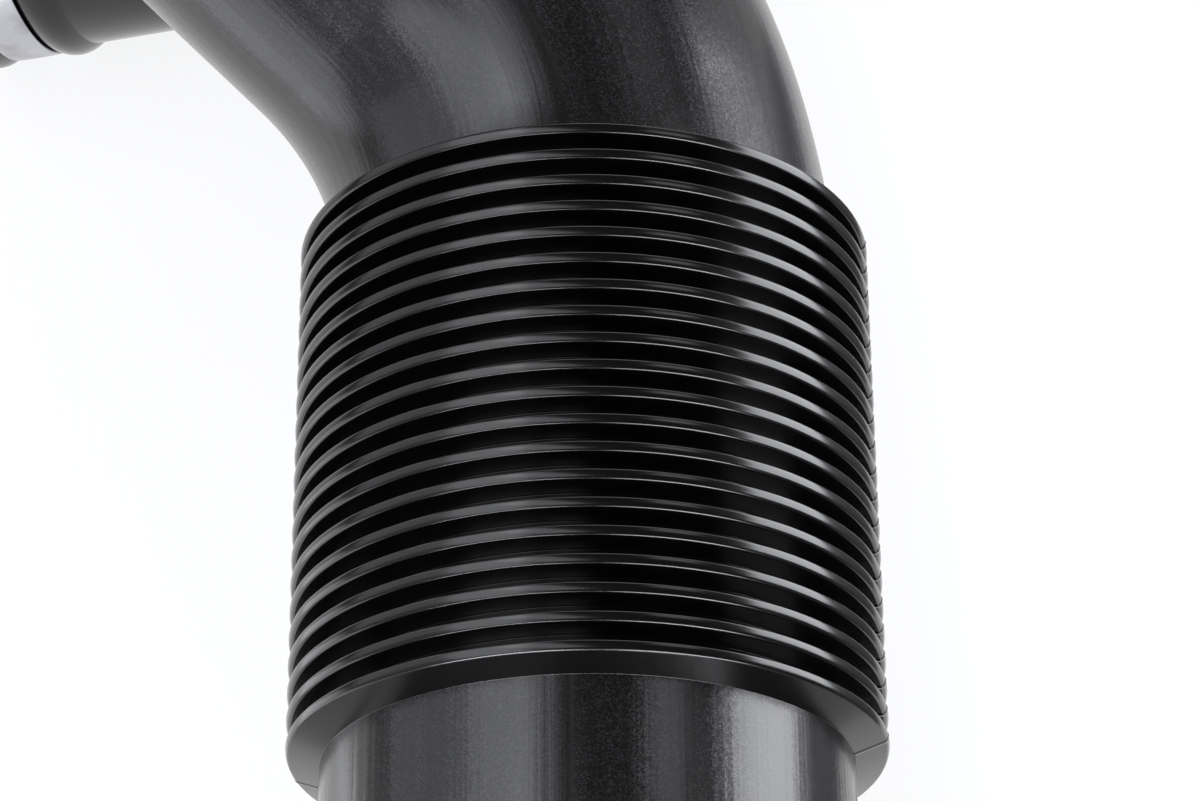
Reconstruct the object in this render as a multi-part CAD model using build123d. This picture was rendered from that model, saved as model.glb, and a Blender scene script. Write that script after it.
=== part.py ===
from build123d import *
import os
from math import cos, radians, sin, tan

# Cold air intake duct in black plastic. A plain spigot leads into a bellows of thin hollow fins,
# then into an elbow with a plain end. A smaller branch leaves under the elbow and ends in a beaded
# cuff that carries a pinch clamp. The duct lies on its bellows and on the beads of the cuff.
# The origin is the centre of the spigot's mouth, +Y runs into the duct, +X is the side away from
# the branch and +Z is up. All sizes are in millimetres.

# Main pipe
PIPE_OD = 89.0
WALL = 2.2
SPIGOT_LENGTH = 70.0
LIP_CHAMFER = 0.5

# Bellows
FIN_OD = 100.4
FIN_COUNT = 20
FIN_PITCH = 4.84
FIN_THICKNESS = 1.75
FOLD_GAP = 0.55

# Elbow, a little narrower than the spigot
ELBOW_STEP = 1.5
ELBOW_OD = PIPE_OD - ELBOW_STEP
ELBOW_RADIUS = 71.0
ELBOW_TURN = 57.4
ELBOW_RISE = 45.2
MAIN_END_LENGTH = 100.0

# Branch
BRANCH_OD = 63.5
BRANCH_SETBACK = 113.5
BRANCH_RADIUS = 69.0
BRANCH_SKEW = 2.4
BRANCH_REACH = 138.4
CROTCH_ROUND = 5.0

# Cuff at the end of the branch, from its mouth inwards
CUFF_LIP = 4.0
BEAD_WIDTH = 8.0
BEAD_HEIGHT = 1.75
SEAT_CLEARANCE = 0.1

# Pinch clamp on the cuff
BAND_WIDTH = 9.0
BAND_THICKNESS = 0.8
BAND_CLEARANCE = 0.1
BAND_OVERLAP = 55.0
EAR_ANGLE = 45.0
EAR_WIDTH = 6.4
EAR_HEIGHT = 6.0
HOOK_COUNT = 2
HOOK_STEP = 18.0
HOOK_START = 13.0
HOOK_LENGTH = 1.6
HOOK_WIDTH = 4.0
HOOK_PLAY = 1.2

# Values that follow from the sizes above
PIPE_R = PIPE_OD / 2
BORE_R = PIPE_R - WALL
FIN_R = FIN_OD / 2
FIN_WALL = (FIN_THICKNESS - FOLD_GAP) / 2
ELBOW_R = ELBOW_OD / 2
ELBOW_BORE_R = ELBOW_R - WALL
BRANCH_R = BRANCH_OD / 2
BRANCH_BORE_R = BRANCH_R - WALL
BELLOWS_LENGTH = (FIN_COUNT - 1) * FIN_PITCH + FIN_THICKNESS
TOP_Y = SPIGOT_LENGTH + BELLOWS_LENGTH
ELBOW_START = Vector(0, TOP_Y - FIN_THICKNESS, 0)
ALONG = Vector(0, 1, 0)
ELBOW_TOWARD = Vector(-cos(radians(ELBOW_RISE)), 0, sin(radians(ELBOW_RISE)))
SEAT_WIDTH = BAND_WIDTH + 2 * SEAT_CLEARANCE

# The branch lies level, with its beads as low as the fins.
BRANCH_Z = BRANCH_R + BEAD_HEIGHT - FIN_R
BRANCH_CORNER = Vector(0, TOP_Y + BRANCH_SETBACK, BRANCH_Z)
BRANCH_OUT = Vector(-cos(radians(BRANCH_SKEW)), -sin(radians(BRANCH_SKEW)), 0)
BRANCH_ROOT = Vector(0, TOP_Y, 0)
BRANCH_MOUTH = BRANCH_CORNER + BRANCH_OUT * BRANCH_REACH

# Two points closer than this are the same point.
MATCH = 0.001


def round_bar(start, direction, length, radius):
    """Solid cylinder from a start point along a direction."""
    bar = Cylinder(radius, length, align=(Align.CENTER, Align.CENTER, Align.MIN))
    return Plane(origin=start, z_dir=direction) * bar


def round_bend(start, direction, toward, bend_radius, turn, radius):
    """Solid bend of round section that leaves a start point along a direction and turns toward a side."""
    section = Plane(origin=start, z_dir=direction) * Circle(radius)
    centre = start + toward * bend_radius
    return revolve(section, axis=Axis(centre, direction.cross(toward)), revolution_arc=turn)


def turned(start, direction, toward, bend_radius, turn):
    """Point and direction at the end of a bend."""
    angle = radians(turn)
    point = start + direction * (bend_radius * sin(angle)) + toward * (bend_radius * (1 - cos(angle)))
    return point, direction * cos(angle) + toward * sin(angle)


def bellows(core_radius, fin_radius, fin_width):
    """Spigot and bellows as one turned solid, either the outside or the air space with its folds."""
    section = Rectangle(core_radius, ELBOW_START.Y, align=(Align.MIN, Align.MIN))
    for index in range(FIN_COUNT):
        middle = SPIGOT_LENGTH + index * FIN_PITCH + FIN_THICKNESS / 2
        section += Pos(0, middle) * Rectangle(fin_radius, fin_width, align=(Align.MIN, Align.CENTER))
    return revolve(section, axis=Axis.Y)


def main_run(radius):
    """Elbow and the straight end that follows it."""
    bend = round_bend(ELBOW_START, ALONG, ELBOW_TOWARD, ELBOW_RADIUS, ELBOW_TURN, radius)
    point, direction = turned(ELBOW_START, ALONG, ELBOW_TOWARD, ELBOW_RADIUS, ELBOW_TURN)
    return bend + round_bar(point, direction, MAIN_END_LENGTH, radius)


def branch_run(radius):
    """Branch from the top of the bellows, round its bend and out to the cuff's mouth."""
    first = (BRANCH_CORNER - BRANCH_ROOT).normalized()
    turn = first.get_angle(BRANCH_OUT)
    tangent = BRANCH_RADIUS * tan(radians(turn / 2))
    bend_start = BRANCH_CORNER - first * tangent
    toward = (BRANCH_OUT - first * BRANCH_OUT.dot(first)).normalized()
    root = round_bar(BRANCH_ROOT, first, (bend_start - BRANCH_ROOT).length, radius)
    bend = round_bend(bend_start, first, toward, BRANCH_RADIUS, turn, radius)
    bend_end = BRANCH_CORNER + BRANCH_OUT * tangent
    return root + bend + round_bar(bend_end, BRANCH_OUT, BRANCH_REACH - tangent, radius)


def cuff_bead(distance):
    """Rounded bead around the cuff, its outer edge at a distance inwards from the mouth."""
    middle = (BRANCH_R + BEAD_HEIGHT, distance + BEAD_WIDTH / 2)
    foot = BRANCH_R - WALL / 2
    crown = ThreePointArc((BRANCH_R, distance), middle, (BRANCH_R, distance + BEAD_WIDTH))
    sides = Polyline((BRANCH_R, distance + BEAD_WIDTH), (foot, distance + BEAD_WIDTH),
                     (foot, distance), (BRANCH_R, distance))
    ring = revolve(make_face([crown, sides]), axis=Axis.Y)
    return cuff_frame() * Rot(X=90) * ring


def cuff_frame():
    """Plane at the cuff's mouth, its Z running into the branch and its X pointing at the clamp's ear."""
    level = Vector(BRANCH_OUT.Y, -BRANCH_OUT.X, 0)
    ear = level * cos(radians(EAR_ANGLE)) + Vector(0, 0, 1) * sin(radians(EAR_ANGLE))
    return Plane(origin=BRANCH_MOUTH, x_dir=ear, z_dir=-BRANCH_OUT)


def mouth_edges(shape, centre):
    """Round edges of a mouth, found by the centre that they share."""
    rounds = shape.edges().filter_by(GeomType.CIRCLE)
    return rounds.filter_by(lambda edge: (edge.arc_center - centre).length < MATCH)


def duct():
    """The whole moulded duct: outside less the air space, with the crotch rounded and the lips eased."""
    trunk = bellows(PIPE_R, FIN_R, FIN_THICKNESS) + main_run(ELBOW_R)
    branch = branch_run(BRANCH_R)
    outside = trunk + branch
    outside = fillet(new_edges(trunk, branch, combined=outside), CROTCH_ROUND)
    outside += [cuff_bead(CUFF_LIP), cuff_bead(CUFF_LIP + BEAD_WIDTH + SEAT_WIDTH)]
    inside = bellows(BORE_R, FIN_R - FIN_WALL, FOLD_GAP)
    inside += [main_run(ELBOW_BORE_R), branch_run(BRANCH_BORE_R)]
    shell = outside - inside
    bend_end, main_out = turned(ELBOW_START, ALONG, ELBOW_TOWARD, ELBOW_RADIUS, ELBOW_TURN)
    lips = ShapeList()
    for mouth in (Vector(0, 0, 0), bend_end + main_out * MAIN_END_LENGTH, BRANCH_MOUTH):
        lips += mouth_edges(shell, mouth)
    return chamfer(lips, min(LIP_CHAMFER, WALL / 4))


def band_turn(inner_radius, turn):
    """Strip of the band's width and thickness, rolled about Z through a turn that starts at the ear."""
    strip = Rectangle(BAND_THICKNESS, BAND_WIDTH, align=(Align.MIN, Align.CENTER))
    return revolve(Plane.XZ * Pos(inner_radius, 0) * strip, axis=Axis.Z, revolution_arc=turn)


def pinch_ear(foot_radius, outer_radius):
    """Hollow loop of the band that is pinched to tighten it, as a post with a round top less its hollow."""
    post = EAR_HEIGHT - EAR_WIDTH / 2
    hollow_width = EAR_WIDTH - 2 * BAND_THICKNESS
    outline = Pos(foot_radius, 0) * Rectangle(outer_radius + post - foot_radius, EAR_WIDTH,
                                              align=(Align.MIN, Align.CENTER))
    outline += Pos(outer_radius + post, 0) * Circle(EAR_WIDTH / 2)
    hollow = Pos(outer_radius, 0) * Rectangle(post, hollow_width, align=(Align.MIN, Align.CENTER))
    hollow += Pos(outer_radius + post, 0) * Circle(hollow_width / 2)
    return extrude(outline, BAND_WIDTH / 2, both=True), extrude(hollow, BAND_WIDTH / 2, both=True)


def pinch_clamp():
    """Steel strip closed round the seat, with a pinched ear and an overlap held by hooks in windows."""
    inner_radius = BRANCH_R + BAND_CLEARANCE
    outer_radius = inner_radius + BAND_THICKNESS
    ring = band_turn(inner_radius, 360)
    overlap = band_turn(outer_radius, BAND_OVERLAP)
    hooks = []
    for index in range(HOOK_COUNT):
        place = Rot(Z=BAND_OVERLAP - HOOK_START - index * HOOK_STEP) * Pos(X=outer_radius)
        above = (Align.MIN, Align.CENTER, Align.CENTER)
        overlap -= place * Box(EAR_HEIGHT, HOOK_LENGTH + HOOK_PLAY, HOOK_WIDTH + HOOK_PLAY, align=above)
        hooks.append(place * Box(2 * BAND_THICKNESS, HOOK_LENGTH, HOOK_WIDTH))
    ear, loop = pinch_ear(inner_radius + BAND_THICKNESS / 2, outer_radius)
    clamp = ring + (overlap + ear - loop) + hooks
    seat_middle = CUFF_LIP + BEAD_WIDTH + SEAT_WIDTH / 2
    return cuff_frame() * Pos(Z=seat_middle) * clamp


os.makedirs("parts", exist_ok=True)
export_step(duct(), "parts/duct.step")
export_step(pinch_clamp(), "parts/pinch_clamp.step")
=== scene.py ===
from collections import namedtuple

import bpy
import numpy as np
from mathutils import Matrix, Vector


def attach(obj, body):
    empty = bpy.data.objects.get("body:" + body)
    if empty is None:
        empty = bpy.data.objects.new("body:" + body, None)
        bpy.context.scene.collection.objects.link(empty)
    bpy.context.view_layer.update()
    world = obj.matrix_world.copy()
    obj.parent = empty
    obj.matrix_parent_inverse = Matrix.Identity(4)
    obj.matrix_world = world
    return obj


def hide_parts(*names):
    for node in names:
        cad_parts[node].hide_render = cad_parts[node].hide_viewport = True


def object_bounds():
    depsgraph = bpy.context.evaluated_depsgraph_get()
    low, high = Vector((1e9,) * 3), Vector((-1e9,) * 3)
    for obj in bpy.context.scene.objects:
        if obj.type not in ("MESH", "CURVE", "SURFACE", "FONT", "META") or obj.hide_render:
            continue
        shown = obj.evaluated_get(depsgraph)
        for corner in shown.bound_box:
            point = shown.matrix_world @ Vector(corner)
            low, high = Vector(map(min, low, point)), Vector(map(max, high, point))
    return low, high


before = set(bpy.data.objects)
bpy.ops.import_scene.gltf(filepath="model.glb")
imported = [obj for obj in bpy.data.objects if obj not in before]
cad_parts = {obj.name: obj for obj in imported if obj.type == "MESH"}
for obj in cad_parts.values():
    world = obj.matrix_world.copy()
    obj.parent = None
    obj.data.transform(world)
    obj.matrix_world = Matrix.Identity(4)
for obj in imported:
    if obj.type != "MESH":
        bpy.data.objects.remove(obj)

cad_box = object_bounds()

# Duct
# One blow-moulded piece of black plastic with an even wall: a plain spigot, a bellows of thin hollow
# fins, an elbow with a plain end, and a smaller branch under the elbow that ends in a beaded cuff.
# It lies loose, on the fins of its bellows and on the beads of its cuff.
MM = 0.001
PIPE_R = 44.5 * MM
WALL = 2.2 * MM
LIP_ROUND = 0.5 * MM
SPIGOT_LENGTH = 70 * MM
FIN_R = 50.2 * MM
FIN_COUNT = 20
FIN_PITCH = 4.84 * MM
FIN_THICKNESS = 1.75 * MM
FIN_WALL = 0.6 * MM
RIM_LOWER_ROUND = 0.7 * MM
RIM_UPPER_ROUND = 0.35 * MM
RIM_LEAN = 25
ROOT_ROUND = 0.12 * MM
FIRST_FIN_DROP = 1.7 * MM
FOLD_GAP = 0.55 * MM
FOLD_ROUND = 0.3 * MM
ELBOW_R = 43.75 * MM
FLARE_HEIGHT = 1.2 * MM
FLARE_LENGTH = 20 * MM
ELBOW_RADIUS = 71 * MM
ELBOW_TURN = np.radians(57.4)
ELBOW_RISE = np.radians(45.2)
MAIN_END_LENGTH = 100 * MM
BRANCH_R = 31.75 * MM
BRANCH_SETBACK = 113.5 * MM
BRANCH_BEND = 69 * MM
BRANCH_SKEW = np.radians(2.4)
BRANCH_REACH = 138.4 * MM
CROTCH_ROUND = 5 * MM
CUFF_LIP = 4 * MM
BEAD_WIDTH = 8 * MM
BEAD_HEIGHT = 1.75 * MM
SEAT_WIDTH = 9.2 * MM
SEAM_TILT = np.radians(2.8)
SEAM_HEIGHT = 0.12 * MM
SEAM_WIDTH = 0.35 * MM

# Steps of the main pipe's mesh. The seam's lines are counted in seam widths, and no even line comes nearer
# to a seam than the clear angle.
SEAM_LINES = np.array([-2.2, -1, 0, 1, 2.2])
SEAM_CLEAR = 0.03
HALF_STEPS = 60
FIRST_RING = 6 * MM
BEND_RINGS = 29
END_RINGS = 22

TOP_Y = SPIGOT_LENGTH + (FIN_COUNT - 1) * FIN_PITCH + FIN_THICKNESS
Pipe = namedtuple("Pipe", "start along toward bend turn")


def unit(vector):
    """The vector divided by its length."""
    return vector / np.linalg.norm(vector, axis=-1, keepdims=True)


main_pipe = Pipe(
    start=np.array([0, TOP_Y - FIN_THICKNESS, 0]),
    along=np.array([0.0, 1.0, 0.0]),
    toward=np.array([-np.cos(ELBOW_RISE), 0, np.sin(ELBOW_RISE)]),
    bend=ELBOW_RADIUS,
    turn=ELBOW_TURN,
)
spigot_pipe = main_pipe._replace(start=np.zeros(3), turn=0.0)

branch_root = np.array([0, TOP_Y, 0])
branch_corner = branch_root + [0, BRANCH_SETBACK, BRANCH_R + BEAD_HEIGHT - FIN_R]
branch_out = np.array([-np.cos(BRANCH_SKEW), -np.sin(BRANCH_SKEW), 0])
branch_first = unit(branch_corner - branch_root)
branch_turn = np.arccos(branch_first @ branch_out)
branch_tangent = BRANCH_BEND * np.tan(branch_turn / 2)
branch_pipe = Pipe(
    start=branch_corner - branch_first * branch_tangent,
    along=branch_first,
    toward=unit(branch_out - branch_first * (branch_out @ branch_first)),
    bend=BRANCH_BEND,
    turn=branch_turn,
)
main_length = ELBOW_RADIUS * ELBOW_TURN + MAIN_END_LENGTH
branch_length = BRANCH_BEND * branch_turn + BRANCH_REACH - branch_tangent


def pipe_axis(pipe, station):
    """Axis of a pipe: a straight run, an arc of one radius, then a straight run on from the arc.
    Station is the distance along it from the arc's start. Gives the points, the tangents and the
    directions to the inside of the bend."""
    station = np.asarray(station)[..., None]
    angle = np.clip(station / pipe.bend, 0, pipe.turn)
    tangent = np.cos(angle) * pipe.along + np.sin(angle) * pipe.toward
    inward = np.cos(angle) * pipe.toward - np.sin(angle) * pipe.along
    arc = pipe.bend * (np.sin(angle) * pipe.along + (1 - np.cos(angle)) * pipe.toward)
    return pipe.start + arc + (station - pipe.bend * angle) * tangent, tangent, inward


def pipe_skin(pipe, station, angle, radius):
    """Wall of a pipe: from the axis at each station, the radius along the inward direction turned by
    the angle about the axis. Gives the points, the outward directions and the tangents."""
    station, angle, radius = np.broadcast_arrays(station, angle, radius)
    point, tangent, inward = pipe_axis(pipe, station)
    side = np.cross(pipe.along, pipe.toward)
    outward = np.cos(angle)[..., None] * inward + np.sin(angle)[..., None] * side
    return point + radius[..., None] * outward, outward, tangent


def pipe_place(pipe, point):
    """Station and angle of the axis place nearest to each point: by length along the straight runs,
    and by the angle about the bend's centre on the arc."""
    offset = point - pipe.start
    ahead = offset @ pipe.along
    turned = np.arctan2(ahead, pipe.bend - offset @ pipe.toward)
    end, tangent, _ = pipe_axis(pipe, pipe.bend * pipe.turn)
    past = pipe.bend * pipe.turn + (point - end) @ tangent
    station = np.where(turned < 0, ahead, np.where(turned < pipe.turn, pipe.bend * turned, past))
    centre, _, inward = pipe_axis(pipe, station)
    arm = point - centre
    side = np.cross(pipe.along, pipe.toward)
    return station, np.arctan2(arm @ side, (arm * inward).sum(-1))


def corner(along, radius, start, end, size, steps, hollow=False):
    """Rounded corner of a profile: an arc about (along, radius) from one angle to another, counted
    from the outward direction. Gives columns of place along, radius, and the normal's two parts,
    which point away from the centre, or to it where the corner is hollow."""
    angle = np.radians(np.linspace(start, end, steps))
    normal = np.stack([np.sin(angle), np.cos(angle)], 1)
    place = np.array([along, radius]) + size * normal
    return np.hstack([place, -normal if hollow else normal])


def repeated(profile, step, count):
    """The same profile set down again and again, a step further along each time."""
    shifts = np.zeros((count, 1, 4))
    shifts[:, 0, 0] = step * np.arange(count)
    return (profile + shifts).reshape(-1, 4)


def fin_outside(drop):
    """Profile of a fin: a small fillet at its root, a face that leans towards the spigot by the drop, a
    lower corner, a low crown that is highest near the upper edge, an upper corner, and the other face
    down to its own fillet."""
    lean = np.degrees(np.arctan(drop / (FIN_R - PIPE_R)))
    crest = FIN_THICKNESS - RIM_UPPER_ROUND
    crown = RIM_LOWER_ROUND + (crest - RIM_LOWER_ROUND) / np.sin(np.radians(RIM_LEAN))
    lower = FIN_R - crown + (crown - RIM_LOWER_ROUND) * np.cos(np.radians(RIM_LEAN))
    return np.vstack([
        corner(-drop - ROOT_ROUND, PIPE_R + ROOT_ROUND, 180, 90 + lean, ROOT_ROUND, 2, hollow=True),
        corner(RIM_LOWER_ROUND, lower, lean - 90, -RIM_LEAN, RIM_LOWER_ROUND, 5),
        corner(crest, FIN_R - crown, -RIM_LEAN, 0, crown, 4)[1:],
        corner(crest, FIN_R - RIM_UPPER_ROUND, 0, 90, RIM_UPPER_ROUND, 4)[1:],
        corner(FIN_THICKNESS + ROOT_ROUND, PIPE_R + ROOT_ROUND, -90, -180, ROOT_ROUND, 2, hollow=True),
    ])


bore_r = PIPE_R - WALL
elbow_bore = ELBOW_R - WALL
fold_end = FIN_R - FIN_WALL - FOLD_GAP / 2
fold_inside = np.vstack([
    corner(-FOLD_GAP / 2 - FOLD_ROUND, bore_r + FOLD_ROUND, 180, 90, FOLD_ROUND, 2),
    corner(0, fold_end, -90, 90, FOLD_GAP / 2, 3, hollow=True),
    corner(FOLD_GAP / 2 + FOLD_ROUND, bore_r + FOLD_ROUND, -90, -180, FOLD_ROUND, 2),
])
first_fin = fin_outside(FIRST_FIN_DROP) + [SPIGOT_LENGTH, 0, 0, 0]
other_fins = repeated(fin_outside(0) + [SPIGOT_LENGTH + FIN_PITCH, 0, 0, 0], FIN_PITCH, FIN_COUNT - 1)
fins = np.vstack([first_fin, other_fins[:-1]])
folds = repeated(fold_inside + [SPIGOT_LENGTH + FIN_THICKNESS / 2, 0, 0, 0], FIN_PITCH, FIN_COUNT)
mouth_lip = np.vstack([
    corner(LIP_ROUND, bore_r + LIP_ROUND, -180, -90, LIP_ROUND, 3),
    corner(LIP_ROUND, PIPE_R - LIP_ROUND, -90, 0, LIP_ROUND, 3),
])
end_lip = np.vstack([
    corner(main_length - LIP_ROUND, ELBOW_R - LIP_ROUND, 0, 90, LIP_ROUND, 3),
    corner(main_length - LIP_ROUND, elbow_bore + LIP_ROUND, 90, 180, LIP_ROUND, 3),
])

# The two parting lines run along the spigot and over the fins, where the halves of the mould met.
side_vector = np.cross(main_pipe.along, main_pipe.toward)
seam_toward = np.array([-np.cos(SEAM_TILT), 0, np.sin(SEAM_TILT)])
seam_angle = np.arctan2(seam_toward @ side_vector, seam_toward @ main_pipe.toward)
even_angles = np.linspace(0, np.pi, HALF_STEPS + 1)
clear_angles = even_angles[(even_angles > SEAM_CLEAR) & (even_angles < np.pi - SEAM_CLEAR)]
half_angles = np.concatenate([SEAM_LINES * SEAM_WIDTH / PIPE_R, clear_angles])
angles = seam_angle + np.concatenate([half_angles, half_angles + np.pi])


def seam_ridge(angle, radius):
    """Height of the parting lines' ridge, a bell curve of the distance from the nearer line, and its
    slope around the pipe."""
    away = (np.mod(angle - seam_angle + np.pi / 2, np.pi) - np.pi / 2) * radius / SEAM_WIDTH
    height = SEAM_HEIGHT * np.exp(-away**2)
    return height, -2 * away * height / SEAM_WIDTH


def straightened(along, turns, radius):
    """Places on a pipe as if it were straight: the radius turned by the angle, and the length."""
    along, turns, radius = np.broadcast_arrays(along, turns, radius)
    return np.stack([radius * np.cos(turns), radius * np.sin(turns), along], -1)


def turned_rows(pipe, profile, turns, seamed=0):
    """Rings of a profile turned about a pipe's axis: the profile's place along and its radius give the
    points, its normal's two parts lie along the axis and outwards. A seamed one has the ridges.
    Gives the points, the normals and the places on the pipe as if it were straight."""
    along, radius, normal_along, normal_out = (column[:, None] for column in profile.T)
    ridge, slope = seam_ridge(turns, radius)
    ridge, slope = ridge * seamed, slope * seamed
    raised = radius + ridge * normal_out
    point, outward, tangent = pipe_skin(pipe, along + ridge * normal_along, turns, raised)
    around = np.cross(tangent, outward)
    normal = normal_along[..., None] * tangent + normal_out[..., None] * outward
    return point, unit(normal - slope[..., None] * around), straightened(along, turns, radius)


def elbow_station(radius):
    """Stations of the elbow's rings: even steps round the bend and along the plain end, after a first
    ring whose station varies around the pipe so that it lies in the plane of the last fin."""
    bend_length = ELBOW_RADIUS * ELBOW_TURN
    flared = radius + FLARE_HEIGHT
    first = ELBOW_RADIUS * np.arcsin(FIN_THICKNESS / (ELBOW_RADIUS - flared * np.cos(angles)))
    bend = np.linspace(FIRST_RING, bend_length, BEND_RINGS)
    straight = np.linspace(bend_length, main_length - LIP_ROUND, END_RINGS)[1:]
    return np.vstack([first, np.concatenate([bend, straight])[:, None] + 0 * angles])


def elbow_rows(radius, facing):
    """Rings of the elbow and the plain end on a bore or an outside of the given radius, from the ring
    that lies in the plane of the last fin. The wall flares towards that ring by the square of the
    distance left. Facing is 1 outside and -1 in the bore."""
    station = elbow_station(radius)
    left = np.clip(1 - station / FLARE_LENGTH, 0, 1)
    point, outward, tangent = pipe_skin(main_pipe, station, angles, radius + FLARE_HEIGHT * left**2)
    slope = 2 * FLARE_HEIGHT / FLARE_LENGTH * left[..., None]
    return (point, facing * unit(outward + slope * tangent),
            straightened(station + main_pipe.start[1], angles, radius))


trunk_rows = [
    turned_rows(spigot_pipe, mouth_lip, angles, 1),
    turned_rows(spigot_pipe, fins, angles, 1),
    elbow_rows(ELBOW_R, 1),
    turned_rows(main_pipe, end_lip[1:-1], angles),
    tuple(rows[::-1] for rows in elbow_rows(elbow_bore, -1)),
    turned_rows(spigot_pipe, folds[::-1], angles),
]

# Steps of the crotch and the branch, and the form of the beads.
HALVINGS = 40
LOOP_STEPS = 2880
HOLE_MARGIN = 4 * MM
CROTCH_FLAT_STEPS = 10
CROTCH_ROUND_STEPS = 8
BRANCH_STEPS = 45
BEAD_STEPS = 14
BEAD_FULLNESS = 0.9
BEAD_APPROACH = 0.15 * MM


def crotch_ball(turns):
    """Ball rolled round the crotch: its centre lies off the branch's wall by the round, at the branch
    station where it is as far off the main pipe's wall, which is found by halving. Gives the station
    and the centre."""
    near = np.full_like(turns, -branch_tangent)
    far = np.full_like(turns, branch_length)
    for _ in range(HALVINGS):
        middle = (near + far) / 2
        centre = pipe_skin(branch_pipe, middle, turns, BRANCH_R + CROTCH_ROUND)[0]
        axis = pipe_axis(main_pipe, pipe_place(main_pipe, centre)[0])[0]
        inside = np.linalg.norm(centre - axis, axis=-1) < ELBOW_R + CROTCH_ROUND
        near = np.where(inside, middle, near)
        far = np.where(inside, far, middle)
    return middle, centre


def crotch_line(centre):
    """Station and angle on the main pipe of the line where the rolled ball touches it."""
    station, turns = pipe_place(main_pipe, centre)
    return station, angles[0] + np.mod(turns - angles[0], 2 * np.pi)


def edge_of(grid, rows, columns):
    """Edge of a rectangle of a grid, once round: along its first row, its last column, its last row
    and its first column."""
    (low, high), (left, right) = rows, columns
    return np.concatenate([grid[low, left:right], grid[low:high, right],
                           grid[high, right:left:-1], grid[high:low:-1, left]])


# The rings of the main pipe stop at a rectangle round the crotch. Its edge is joined to the line
# where the rolled ball touches the main pipe by the bearing from the middle of that line.
loop_turns = np.linspace(-np.pi, np.pi, LOOP_STEPS + 1)
loop = np.stack(crotch_line(crotch_ball(loop_turns)[1]))
loop_low, loop_high = loop.min(1), loop.max(1)
loop_middle = (loop_low + loop_high) / 2
station_grid, turn_grid = np.broadcast_arrays(elbow_station(ELBOW_R), angles)
hole_rows = (np.searchsorted(station_grid[:, 0], loop_low[0] - HOLE_MARGIN) - 1,
             np.searchsorted(station_grid[:, 0], loop_high[0] + HOLE_MARGIN))
hole_columns = (np.searchsorted(angles, loop_low[1] - HOLE_MARGIN / ELBOW_R) - 1,
                np.searchsorted(angles, loop_high[1] + HOLE_MARGIN / ELBOW_R))


def bearing(station, turns):
    """Direction from the middle of the crotch's line, on the main pipe's wall laid flat."""
    return np.arctan2((turns - loop_middle[1]) * ELBOW_R, station - loop_middle[0])


edge_station = edge_of(station_grid, hole_rows, hole_columns)
edge_turns = edge_of(turn_grid, hole_rows, hole_columns)
branch_turns = np.interp(bearing(edge_station, edge_turns), bearing(*loop), loop_turns, period=2 * np.pi)
ball_station, ball_centre = crotch_ball(branch_turns)
touch_station, touch_turns = crotch_line(ball_centre)


def bead(middle):
    """Moulded bead round the cuff: its height is (1 - x^2) to the power of its fullness, where x runs from
    -1 to 1 across it, and the normals come from its slope."""
    across = np.sin(np.linspace(-np.pi / 2, np.pi / 2, BEAD_STEPS + 1))
    along = middle + across * BEAD_WIDTH / 2
    height = BEAD_HEIGHT * (1 - across**2)**BEAD_FULLNESS
    normal = unit(np.stack([-np.gradient(height, along), np.ones_like(along)], 1))
    return np.column_stack([along, BRANCH_R + height, normal])


def crotch_rows(wall, facing):
    """Rings from the rectangle's edge to the branch on the outside or, a wall further in, on the inside:
    straight lines on the main pipe's unrolled wall, then arcs about the rolled ball's centre."""
    share = np.linspace(0, 1, CROTCH_FLAT_STEPS + 1)[1:, None]
    station = edge_station + share * (touch_station - edge_station)
    turns = edge_turns + share * (touch_turns - edge_turns)
    flat, outward, _ = pipe_skin(main_pipe, station, turns, ELBOW_R - wall)
    flat_straight = straightened(station + main_pipe.start[1], turns, ELBOW_R - wall)
    to_main = unit(pipe_axis(main_pipe, touch_station)[0] - ball_centre)
    to_branch = unit(pipe_axis(branch_pipe, ball_station)[0] - ball_centre)
    opening = np.arccos((to_main * to_branch).sum(-1))
    share = np.linspace(0, 1, CROTCH_ROUND_STEPS + 1)[1:, None]
    arm = np.sin((1 - share) * opening)[..., None] * to_main
    arm = (arm + np.sin(share * opening)[..., None] * to_branch) / np.sin(opening)[..., None]
    round_straight = straightened(ball_station, branch_turns, BRANCH_R - wall) + 0 * arm
    return (np.vstack([flat, ball_centre + (CROTCH_ROUND + wall) * arm]),
            facing * np.vstack([outward, -arm]),
            np.vstack([flat_straight, round_straight]))


def branch_rows(radius, facing, last):
    """Rings of the branch from the crotch to a last station, in even steps along each line."""
    share = np.linspace(0, 1, BRANCH_STEPS + 1)[1:, None]
    station = ball_station + share * (last - ball_station)
    point, outward, _ = pipe_skin(branch_pipe, station, branch_turns, radius)
    return point, facing * outward, straightened(station, branch_turns, radius)


inner_bead = branch_length - CUFF_LIP - BEAD_WIDTH - SEAT_WIDTH - BEAD_WIDTH / 2
outer_bead = branch_length - CUFF_LIP - BEAD_WIDTH / 2
branch_bore = BRANCH_R - WALL
cuff = np.vstack([
    bead(inner_bead),
    bead(outer_bead),
    corner(branch_length - LIP_ROUND, BRANCH_R - LIP_ROUND, 0, 90, LIP_ROUND, 3),
    corner(branch_length - LIP_ROUND, branch_bore + LIP_ROUND, 90, 180, LIP_ROUND, 3),
])
cuff_start = inner_bead - BEAD_WIDTH / 2 - BEAD_APPROACH
fork_rows = [
    crotch_rows(0, 1),
    branch_rows(BRANCH_R, 1, cuff_start),
    turned_rows(branch_pipe, cuff, branch_turns),
    tuple(rows[::-1] for rows in branch_rows(branch_bore, -1, branch_length - 2 * LIP_ROUND)),
    tuple(rows[::-1] for rows in crotch_rows(WALL, -1)),
]


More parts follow.
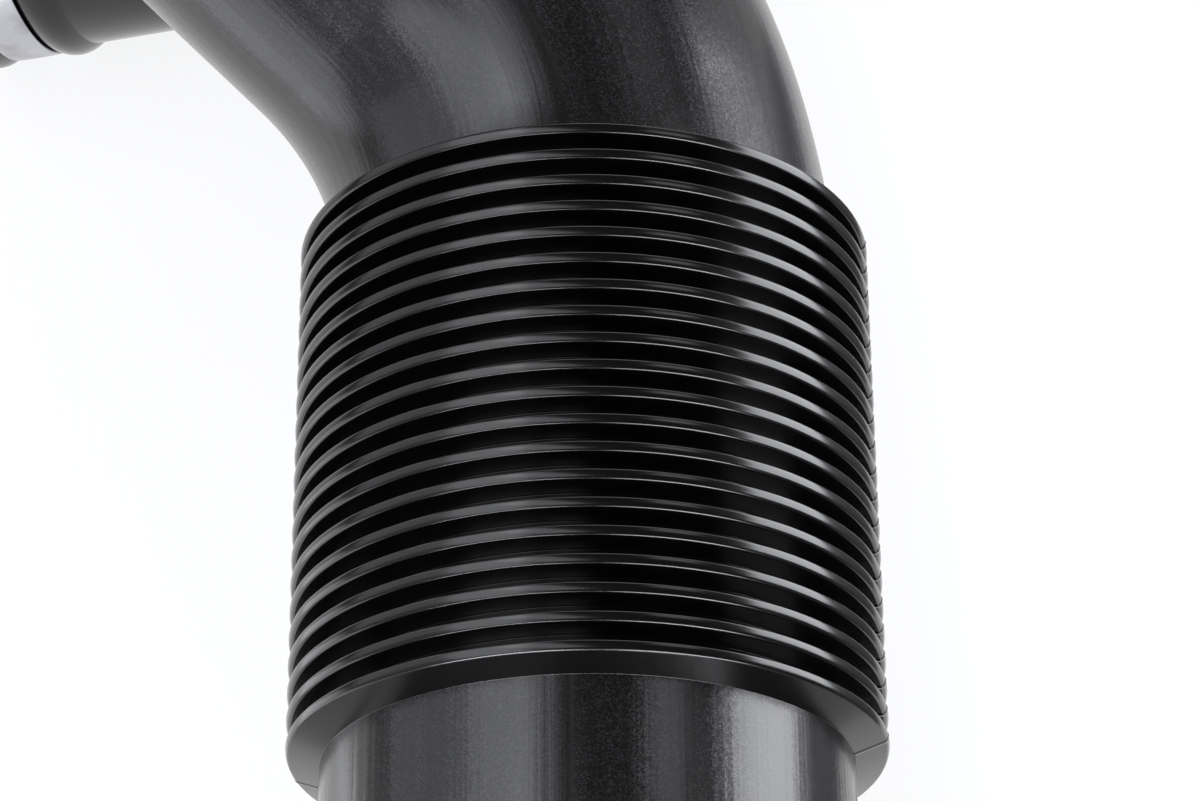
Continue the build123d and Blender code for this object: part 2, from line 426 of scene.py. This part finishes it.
def stacked(blocks, part):
    """One part of several blocks of rings, as one array of rings."""
    return np.vstack([block[part] for block in blocks])


def ring_quads(rows):
    """Quads between neighbouring rings of point numbers."""
    around = np.roll(rows, -1, 1)
    return np.stack([rows[:-1], around[:-1], around[1:], rows[1:]], -1)


trunk_count = sum(len(block[0]) for block in trunk_rows)
trunk_index = np.arange(trunk_count * len(angles)).reshape(trunk_count, len(angles))
elbow_start = len(mouth_lip) + len(fins)
bore_end = trunk_count - len(folds)
outside_index = trunk_index[elbow_start:elbow_start + len(station_grid)]
bore_index = trunk_index[bore_end - len(station_grid):bore_end][::-1]
trunk_quads = ring_quads(np.vstack([trunk_index, trunk_index[:1]]))
kept = np.ones(trunk_quads.shape[:2], bool)
hole = slice(*hole_columns)
kept[elbow_start + hole_rows[0]:elbow_start + hole_rows[1], hole] = False
kept[bore_end - 1 - hole_rows[1]:bore_end - 1 - hole_rows[0], hole] = False

fork_count = sum(len(block[0]) for block in fork_rows)
fork_index = trunk_index.size + np.arange(fork_count * len(branch_turns)).reshape(fork_count, -1)
fork_quads = ring_quads(np.vstack([
    edge_of(outside_index, hole_rows, hole_columns),
    fork_index,
    edge_of(bore_index, hole_rows, hole_columns),
]))


def both(part):
    """One part of the main pipe and the branch as a list of vectors."""
    return np.vstack([stacked(trunk_rows, part).reshape(-1, 3), stacked(fork_rows, part).reshape(-1, 3)])


def made(name, points, faces, node):
    """Smooth mesh object that rides on the root and stands for a CAD node, which it hides."""
    mesh = bpy.data.meshes.new(name)
    mesh.from_pydata(points, [], faces)
    mesh.shade_smooth()
    thing = bpy.data.objects.new(name, mesh)
    bpy.context.collection.objects.link(thing)
    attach(thing, "root")
    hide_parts(node)
    return thing


duct_quads = np.vstack([trunk_quads[kept], fork_quads.reshape(-1, 4)])
duct = made("duct_moulding", both(0), duct_quads, "duct")
duct.data.normals_split_custom_set_from_vertices(both(1))
duct.data.attributes.new("straight", "FLOAT_VECTOR", "POINT").data.foreach_set("vector", both(2).ravel())

# The streaks follow the lines' noise between its two limits, from the least to the most of the speckles.
PLASTIC_BLACK = (0.002, 0.002, 0.0022, 1)
SPECKLE_GREY = (0.025, 0.025, 0.0269, 1)
SPECKLE_RARITY = 2
FACETS_PER_METRE = 4200
FACET_SLOPE = 0.045
FIN_ROUGHNESS = 0.19
PIPE_ROUGHNESS = 0.24
LINES_PER_METRE = (480, 480, 9)
LINE_DEPTH = 0.065 * MM
STREAK_FROM = 0.38
STREAK_UP_TO = 0.62
STREAK_LEAST = 0.55
STREAK_MOST = 1.15


def new_material(name):
    """Empty node material with its Principled shader, and the functions that add a node, join two sockets
    and work out a number."""
    material = bpy.data.materials.new(name)
    material.use_nodes = True
    tree = material.node_tree
    shader = tree.nodes["Principled BSDF"]
    join = tree.links.new

    def node(kind, **values):
        """Adds a node. A value is a property of it or, failing that, the default of an input."""
        added = tree.nodes.new(kind)
        for key, value in values.items():
            if hasattr(added, key):
                setattr(added, key, value)
            else:
                added.inputs[key.replace("_", " ").title()].default_value = value
        return added

    def worked(operation, *terms):
        """Adds a Math node on numbers and sockets, in their order. Gives its output socket."""
        added = node("ShaderNodeMath", operation=operation)
        for term, socket in zip(terms, added.inputs):
            if isinstance(term, bpy.types.NodeSocket):
                join(term, socket)
            else:
                socket.default_value = term
        return added.outputs["Value"]

    return material, shader, node, join, worked


def black_plastic():
    """Satin black plastic with long faint lines from the pulling of the hot tube, and a fine grain of tiny
    facets, each tilted at random, of which the paler ones gather in streaks along the lines. Between the
    stations of the bellows, on the branch too, it is smooth and shines more."""
    material, shader, node, join, worked = new_material("grained_black_plastic")
    straight = node("ShaderNodeAttribute", attribute_name="straight")
    station = node("ShaderNodeSeparateXYZ")
    join(straight.outputs["Vector"], station.inputs["Vector"])
    fins_start = SPIGOT_LENGTH - FIRST_FIN_DROP
    finned = worked("COMPARE", station.outputs["Z"], (TOP_Y + fins_start) / 2, (TOP_Y - fins_start) / 2)
    plain = worked("SUBTRACT", 1, finned)
    dullness = node("ShaderNodeMapRange", to_min=FIN_ROUGHNESS, to_max=PIPE_ROUGHNESS)
    join(plain, dullness.inputs["Value"])
    join(dullness.outputs["Result"], shader.inputs["Roughness"])

    stretch = node("ShaderNodeMapping", scale=LINES_PER_METRE)
    lines = node("ShaderNodeTexNoise", scale=1, detail=2, roughness=0.6)
    line_bump = node("ShaderNodeBump", distance=LINE_DEPTH)
    join(straight.outputs["Vector"], stretch.inputs["Vector"])
    join(stretch.outputs["Vector"], lines.inputs["Vector"])
    join(lines.outputs["Fac"], line_bump.inputs["Height"])
    join(plain, line_bump.inputs["Strength"])

    place = node("ShaderNodeTexCoord")
    facets = node("ShaderNodeTexVoronoi", scale=FACETS_PER_METRE)
    centred = node("ShaderNodeVectorMath", operation="SUBTRACT")
    centred.inputs[1].default_value = (0.5, 0.5, 0.5)
    tilt = node("ShaderNodeVectorMath", operation="SCALE")
    tilted = node("ShaderNodeVectorMath", operation="ADD")
    faced = node("ShaderNodeVectorMath", operation="NORMALIZE")
    join(place.outputs["Object"], facets.inputs["Vector"])
    join(facets.outputs["Color"], centred.inputs[0])
    join(centred.outputs["Vector"], tilt.inputs[0])
    join(worked("MULTIPLY", plain, FACET_SLOPE), tilt.inputs["Scale"])
    join(tilt.outputs["Vector"], tilted.inputs[0])
    join(line_bump.outputs["Normal"], tilted.inputs[1])
    join(tilted.outputs["Vector"], faced.inputs[0])
    join(faced.outputs["Vector"], shader.inputs["Normal"])

    chance = node("ShaderNodeSeparateXYZ")
    streaks = node("ShaderNodeMapRange", from_min=STREAK_FROM, from_max=STREAK_UP_TO,
                   to_min=STREAK_LEAST, to_max=STREAK_MOST)
    shade = node("ShaderNodeMix", data_type="RGBA", a=PLASTIC_BLACK, b=SPECKLE_GREY)
    join(facets.outputs["Color"], chance.inputs["Vector"])
    join(lines.outputs["Fac"], streaks.inputs["Value"])
    speckles = worked("MULTIPLY", worked("POWER", chance.outputs["X"], SPECKLE_RARITY), plain)
    join(worked("MULTIPLY", speckles, streaks.outputs["Result"]), shade.inputs["Factor"])
    join(shade.outputs["Result"], shader.inputs["Base Color"])
    return material


duct.data.materials.append(black_plastic())

# Pinch clamp
# One strip of bright stainless steel round the cuff's seat, between its beads. It is closed by a pinched
# ear, and the strip's outer end lies over the inner one and is held by two hooks that stand in windows.
BAND_WIDTH = 9 * MM
BAND_THICKNESS = 0.78 * MM
BAND_GAP = 0.1 * MM
BAND_CROWN = 0.1 * MM
BAND_EDGE = 0.25 * MM
BAND_OVERLAP = np.radians(55)
EAR_ANGLE = np.radians(45)
EAR_WIDTH = 6.4 * MM
EAR_HEIGHT = 6 * MM
EAR_FOOT = 1 * MM
HOOK_ANGLES = np.radians([42, 24])
HOOK_LENGTH = 1.6 * MM
HOOK_WIDTH = 4 * MM
HOOK_PLAY = 1.2 * MM
HOOK_CORNERS = 8
LAYER = 0.8 * MM
OVERLAP_POINTS = 14
FOOT_POINTS = 6
EAR_POINTS = 17
RING_POINTS = 140
EDGE_POINTS = 4
SHARP_ANGLE = np.radians(40)

inner_layer = BRANCH_R + BAND_GAP + LAYER / 2
outer_layer = inner_layer + LAYER
ear_arm = (EAR_WIDTH - LAYER) / 2
ear_centre = inner_layer + LAYER / 2 + EAR_HEIGHT - EAR_WIDTH / 2
foot_side = ear_arm + EAR_FOOT
window_turn = (HOOK_LENGTH + HOOK_PLAY) / 2 / outer_layer
window_side = (HOOK_WIDTH + HOOK_PLAY) / 2


def arc(centre, radius, turns):
    """Points of an arc in the clamp's plane, and the directions from its centre."""
    away = np.stack([np.cos(turns), np.sin(turns)], 1)
    return np.array(centre) + radius * away, away


outer_foot = np.arcsin(foot_side / outer_layer)
inner_foot = np.arcsin(foot_side / inner_layer)
window_ends = np.concatenate([HOOK_ANGLES - window_turn, HOOK_ANGLES + window_turn])
overlap_turns = np.linspace(outer_foot, BAND_OVERLAP, OVERLAP_POINTS)
outer_turns = np.sort(np.concatenate([overlap_turns, window_ends]))[::-1]
quarter = np.linspace(0, np.pi / 2, FOOT_POINTS)
outer_run = arc((0, 0), outer_layer, outer_turns)
rise = arc((outer_layer * np.cos(outer_foot) + EAR_FOOT, foot_side), EAR_FOOT, np.pi + quarter)
crown = arc((ear_centre, 0), ear_arm, np.linspace(np.pi / 2, -np.pi / 2, EAR_POINTS))
fall = arc((inner_layer * np.cos(inner_foot) + EAR_FOOT, -foot_side), EAR_FOOT, np.pi / 2 + quarter)
inner_turns = np.linspace(-inner_foot, -2 * np.pi - inner_foot / 2, RING_POINTS)[1:]
inner_run = arc((0, 0), inner_layer, inner_turns)
path = np.vstack([outer_run[0], rise[0], crown[0], fall[0], inner_run[0]])
path_normal = np.vstack([outer_run[1], -rise[1], crown[1], -fall[1], inner_run[1]])


def strip_section():
    """Section of the strip as columns of place across and height: a flat rectangle with rounded corners
    and extra points at the windows' sides, raised along its middle by a low crown."""
    round_turns = np.linspace(0, np.pi / 2, EDGE_POINTS)
    side, top = BAND_WIDTH / 2 - BAND_EDGE, BAND_THICKNESS / 2 - BAND_EDGE
    flat = np.array([[window_side, 1], [0, 1], [-window_side, 1]]) * [1, BAND_THICKNESS / 2]
    right = arc((side, top), BAND_EDGE, round_turns)[0]
    left = arc((-side, top), BAND_EDGE, round_turns + np.pi / 2)[0]
    upper = np.vstack([right, flat, left])
    section = np.vstack([upper, -upper])
    crown_height = BAND_CROWN * (1 - (2 * section[:, 0] / BAND_WIDTH)**2)
    return section + np.stack([0 * crown_height, crown_height], 1)


cuff_level = np.array([branch_out[1], -branch_out[0], 0])
ear_out = np.cos(EAR_ANGLE) * cuff_level + np.sin(EAR_ANGLE) * np.array([0, 0, 1])
ear_side = np.cross(-branch_out, ear_out)
seat_middle = CUFF_LIP + BEAD_WIDTH + SEAT_WIDTH / 2
seat_centre = branch_corner + branch_out * (BRANCH_REACH - seat_middle)


def on_cuff(plane, across):
    """Points from places in the clamp's plane and distances across the band."""
    in_plane = plane[..., :1] * ear_out + plane[..., 1:] * ear_side
    return seat_centre + in_plane - across[..., None] * branch_out


section = strip_section()
strip = on_cuff(path[:, None] + section[:, 1, None] * path_normal[:, None], section[:, 0] + 0 * path[:, :1])
strip_index = np.arange(strip[..., 0].size).reshape(strip.shape[:2])
strip_quads = ring_quads(strip_index)
kept_strip = np.ones(strip_quads.shape[:2], bool)

# The windows are cut between the three flat points of the section's upper and lower side.
upper_flat = EDGE_POINTS + np.arange(3)
lower_flat = upper_flat[::-1] + len(section) // 2
window_walls = []
for hook_angle in HOOK_ANGLES:
    first = np.argmin(np.abs(outer_turns - hook_angle - window_turn))
    last = np.argmin(np.abs(outer_turns - hook_angle + window_turn))
    kept_strip[first:last, [*upper_flat[:2], *lower_flat[1:]]] = False
    rim = [edge_of(strip_index[:, flat], (first, last), (0, 2)) for flat in (upper_flat, lower_flat)]
    window_walls.append(ring_quads(np.stack(rim[::-1])).reshape(-1, 4))


def hook(turn):
    """Block that stands up from the inner layer into a window, flush with the strip above."""
    signs = np.array([[-1, -1], [1, -1], [1, 1], [-1, 1]])
    heights = np.repeat([inner_layer, outer_layer + LAYER / 2], 4)
    sides = np.tile(signs[:, 0] * HOOK_LENGTH / 2, 2)
    across = np.tile(signs[:, 1] * HOOK_WIDTH / 2, 2)
    outward, along = arc((0, 0), 1, np.array([turn, turn + np.pi / 2]))[1]
    return on_cuff(heights[:, None] * outward + sides[:, None] * along, across)


hook_faces = np.array([[3, 2, 1, 0], [4, 5, 6, 7], [0, 1, 5, 4], [1, 2, 6, 5], [2, 3, 7, 6], [3, 0, 4, 7]])
hook_starts = strip_index.size + HOOK_CORNERS * np.arange(len(HOOK_ANGLES))[:, None, None]
clamp_points = np.vstack([strip.reshape(-1, 3)] + [hook(turn) for turn in HOOK_ANGLES])
clamp_quads = np.vstack([strip_quads[kept_strip], *window_walls, (hook_faces + hook_starts).reshape(-1, 4)])
clamp_faces = clamp_quads.tolist() + [strip_index[0, ::-1].tolist(), strip_index[-1].tolist()]
clamp = made("pinch_clamp_strip", clamp_points, clamp_faces, "pinch_clamp")
clamp.data.set_sharp_from_angle(angle=SHARP_ANGLE)

CLEAN_STEEL = (0.44, 0.445, 0.47, 1)
STAINED_STEEL = (0.3, 0.29, 0.315, 1)
STAIN_FROM = 0.35
STAIN_UP_TO = 0.5
STEEL_LEAST_ROUGH = 0.24
STEEL_MOST_ROUGH = 0.38
STEEL_CLOUDS_PER_METRE = 70
STEEL_LINES_PER_METRE = (9000, 60, 60)
STEEL_LINE_DEPTH = 0.004 * MM


def bright_steel():
    """Rolled stainless steel: fine lines along the strip, a slightly uneven shine and a faint stain."""
    material, shader, node, join, _ = new_material("rolled_stainless_steel")
    shader.inputs["Metallic"].default_value = 1
    place = node("ShaderNodeTexCoord")
    clouds = node("ShaderNodeTexNoise", scale=STEEL_CLOUDS_PER_METRE, detail=3, roughness=0.55)
    shine = node("ShaderNodeMapRange", to_min=STEEL_LEAST_ROUGH, to_max=STEEL_MOST_ROUGH)
    stain = node("ShaderNodeMapRange", from_min=STAIN_FROM, from_max=STAIN_UP_TO)
    tint = node("ShaderNodeMix", data_type="RGBA", a=STAINED_STEEL, b=CLEAN_STEEL)
    join(place.outputs["Object"], clouds.inputs["Vector"])
    join(clouds.outputs["Fac"], shine.inputs["Value"])
    join(shine.outputs["Result"], shader.inputs["Roughness"])
    join(clouds.outputs["Fac"], stain.inputs["Value"])
    join(stain.outputs["Result"], tint.inputs["Factor"])
    join(tint.outputs["Result"], shader.inputs["Base Color"])

    stretch = node("ShaderNodeMapping", scale=STEEL_LINES_PER_METRE)
    lines = node("ShaderNodeTexNoise", scale=1, detail=2, roughness=0.6)
    bump = node("ShaderNodeBump", strength=1, distance=STEEL_LINE_DEPTH)
    join(place.outputs["Object"], stretch.inputs["Vector"])
    join(stretch.outputs["Vector"], lines.inputs["Vector"])
    join(lines.outputs["Fac"], bump.inputs["Height"])
    join(bump.outputs["Normal"], shader.inputs["Normal"])
    return material


clamp.data.materials.append(bright_steel())

# Floor
# A plain white sheet that the duct lies on. It glows to the camera, so that it looks nearly white, and
# keeps the duct's soft shadow. Its glow to mirrored rays is a painted reflection of a lit and shaded room:
# the duct mirrors it as white on the branch's side, more dimly in front and behind, and as dark elsewhere.
FLOOR_HALF = 3.0
FLOOR_GLOW = 0.88
SHEET_GREY = (0.12, 0.12, 0.12, 1)
SHEET_GLOW = (0.985, 0.99, 1, 1)
WHITE_UP_TO_X = 0.08
WHITE_FROM_Y = 0.27
BEHIND_GLOW = 0.55
DIM_UP_TO_Y = 0.035
FRONT_GLOW = 0.45

floor_z = cad_box[0][2]
floor_corners = FLOOR_HALF * np.array([[-1, -1, 0], [1, -1, 0], [1, 1, 0], [-1, 1, 0]]) + [0, 0, floor_z]
floor_mesh = bpy.data.meshes.new("floor")
floor_mesh.from_pydata(floor_corners, [], [(0, 1, 2, 3)])
floor = bpy.data.objects.new("floor", floor_mesh)
bpy.context.collection.objects.link(floor)


def white_sheet():
    """Matt sheet, dark enough that the lamps add little to its glow. Camera rays see an even glow. Mirrored
    rays see a painted reflection, the greater of two glows: one beside the duct that is cut down in front,
    and a dimmer one behind."""
    material, shader, node, join, worked = new_material("white_sheet")
    shader.inputs["Base Color"].default_value = SHEET_GREY
    shader.inputs["Specular IOR Level"].default_value = 0
    shader.inputs["Emission Color"].default_value = SHEET_GLOW
    ray = node("ShaderNodeLightPath")
    place = node("ShaderNodeTexCoord")
    axes = node("ShaderNodeSeparateXYZ")
    join(place.outputs["Object"], axes.inputs["Vector"])
    # The glow that mirrored rays see is a painted reflection: white beside the branch, dimmer or dark
    # elsewhere.
    left = worked("LESS_THAN", axes.outputs["X"], WHITE_UP_TO_X)
    before = worked("LESS_THAN", axes.outputs["Y"], DIM_UP_TO_Y)
    behind = worked("GREATER_THAN", axes.outputs["Y"], WHITE_FROM_Y)
    beside = worked("MULTIPLY", left, worked("MULTIPLY_ADD", before, FRONT_GLOW - 1, 1))
    white = worked("MAXIMUM", beside, worked("MULTIPLY", behind, BEHIND_GLOW))
    painted_reflection = worked("MULTIPLY", white, ray.outputs["Is Glossy Ray"])
    seen = worked("MULTIPLY", ray.outputs["Is Camera Ray"], FLOOR_GLOW)
    join(worked("MAXIMUM", seen, painted_reflection), shader.inputs["Emission Strength"])
    return material


floor_mesh.materials.append(white_sheet())

# Lamps
# Soft boxes round the duct, each a long rectangle. A bright one stands low on the right with two small dim
# ones above it, and three dim ones stand on the left. Two hang overhead, two bright ones stand far in front
# and one behind. The rest of the room is nearly dark, and only the camera sees it as white.
LAMP_TINT = (0.95, 0.965, 1.0)
ROOM_GLOW = 0.07
BACKDROP_GLOW = 1.0


def soft_box(name, start, end, facing, width, radiance):
    """Rectangular lamp of a width about the line from a start to an end, turned to face a point as far
    as that line allows. Its power is radiance times area times four, as the renderer counts it."""
    start, end, facing = np.array(start), np.array(end), np.array(facing)
    middle = (start + end) / 2
    along = unit(end - start)
    outward = middle - facing
    outward = unit(outward - along * (outward @ along))
    lamp = bpy.data.lights.new(name, "AREA")
    lamp.shape = "RECTANGLE"
    lamp.size = np.linalg.norm(end - start)
    lamp.size_y = width
    lamp.energy = 4 * radiance * lamp.size * lamp.size_y
    lamp.color = LAMP_TINT
    matrix = np.eye(4)
    matrix[:3, :3] = np.stack([along, np.cross(outward, along), outward], 1)
    matrix[:3, 3] = middle
    thing = bpy.data.objects.new(name, lamp)
    thing.matrix_world = Matrix(matrix.tolist())
    bpy.context.collection.objects.link(thing)


soft_box("low_right_box", (0.2, 0.05, 0.018), (0.2, 0.288, 0.018),
         facing=(0, 0.13, 0.018), width=0.12, radiance=6.2)
soft_box("high_right_box", (0.205, 0.115, 0.22), (0.205, 0.2, 0.22),
         facing=(0, 0.13, 0), width=0.08, radiance=1.4)
soft_box("far_right_box", (0.205, 0.25, 0.22), (0.205, 0.33, 0.22),
         facing=(0, 0.13, 0), width=0.1, radiance=0.4)
soft_box("high_left_box", (-0.365, -1.05, 0.8), (-0.365, 0.6, 0.8),
         facing=(-0.365, -0.2, 0), width=0.48, radiance=2.2)
soft_box("high_middle_box", (0.086, -0.285, 0.8), (-0.17, 0.36, 0.8),
         facing=(0, 0, 0), width=0.24, radiance=1.6)
soft_box("left_box", (-0.45, 0, 0.3), (-0.45, 0.6, 0.3),
         facing=(0, 0.1, 0), width=0.42, radiance=0.85)
soft_box("far_left_box", (-0.45, -0.5, 0.3), (-0.45, 0, 0.3),
         facing=(0, 0.1, 0), width=0.42, radiance=0.4)
soft_box("low_left_box", (-0.335, -0.2, 0.01), (-0.335, 0.13, 0.01),
         facing=(-0.235, 0, 0.33), width=0.35, radiance=1.25)
soft_box("front_right_box", (0.15, -0.8, 0.165), (0.75, -0.8, 0),
         facing=(0, 0.1, 0.05), width=0.3, radiance=13)
soft_box("front_left_box", (0, -0.8, 0.19), (-0.48, -0.8, 0.03),
         facing=(0, 0.1, 0.05), width=0.28, radiance=13)
soft_box("back_box", (-1, 1.2, 0.35), (1, 1.2, 0.35),
         facing=(0, 0.1, 0), width=0.7, radiance=1.5)

world = bpy.data.worlds.new("studio")
bpy.context.scene.world = world
world.use_nodes = True
backdrop = world.node_tree.nodes["Background"]
backdrop.inputs["Color"].default_value = (1, 1, 1, 1)
ray = world.node_tree.nodes.new("ShaderNodeLightPath")
strength = world.node_tree.nodes.new("ShaderNodeMix")
strength.inputs["A"].default_value = ROOM_GLOW
strength.inputs["B"].default_value = BACKDROP_GLOW
world.node_tree.links.new(ray.outputs["Is Camera Ray"], strength.inputs["Factor"])
world.node_tree.links.new(strength.outputs["Result"], backdrop.inputs["Strength"])
bpy.context.scene.view_settings.view_transform = "Standard"

# Camera
# A long lens that looks down on the bellows from the spigot's end, with +Y up in the picture but for a
# slight roll. Its place and its aim were fitted to the photograph.
CAMERA_PLACE = np.array([123.69, -136.54, 546.83]) * MM
CAMERA_AIM = np.array([2.68, 136.74, 0]) * MM
CAMERA_ROLL = np.radians(-0.54)
CAMERA_LENS = 107.23
CAMERA_SENSOR = 36

forward = unit(CAMERA_AIM - CAMERA_PLACE)
level = unit(np.cross(forward, (0, 1, 0)))
right = np.cos(CAMERA_ROLL) * level + np.sin(CAMERA_ROLL) * np.cross(level, forward)
matrix = np.eye(4)
matrix[:3, :3] = np.stack([right, np.cross(right, forward), -forward], 1)
matrix[:3, 3] = CAMERA_PLACE
camera = bpy.data.objects.new("camera", bpy.data.cameras.new("camera"))
camera.data.lens = CAMERA_LENS
camera.data.sensor_width = CAMERA_SENSOR
camera.matrix_world = Matrix(matrix.tolist())
bpy.context.collection.objects.link(camera)
bpy.context.scene.camera = camera
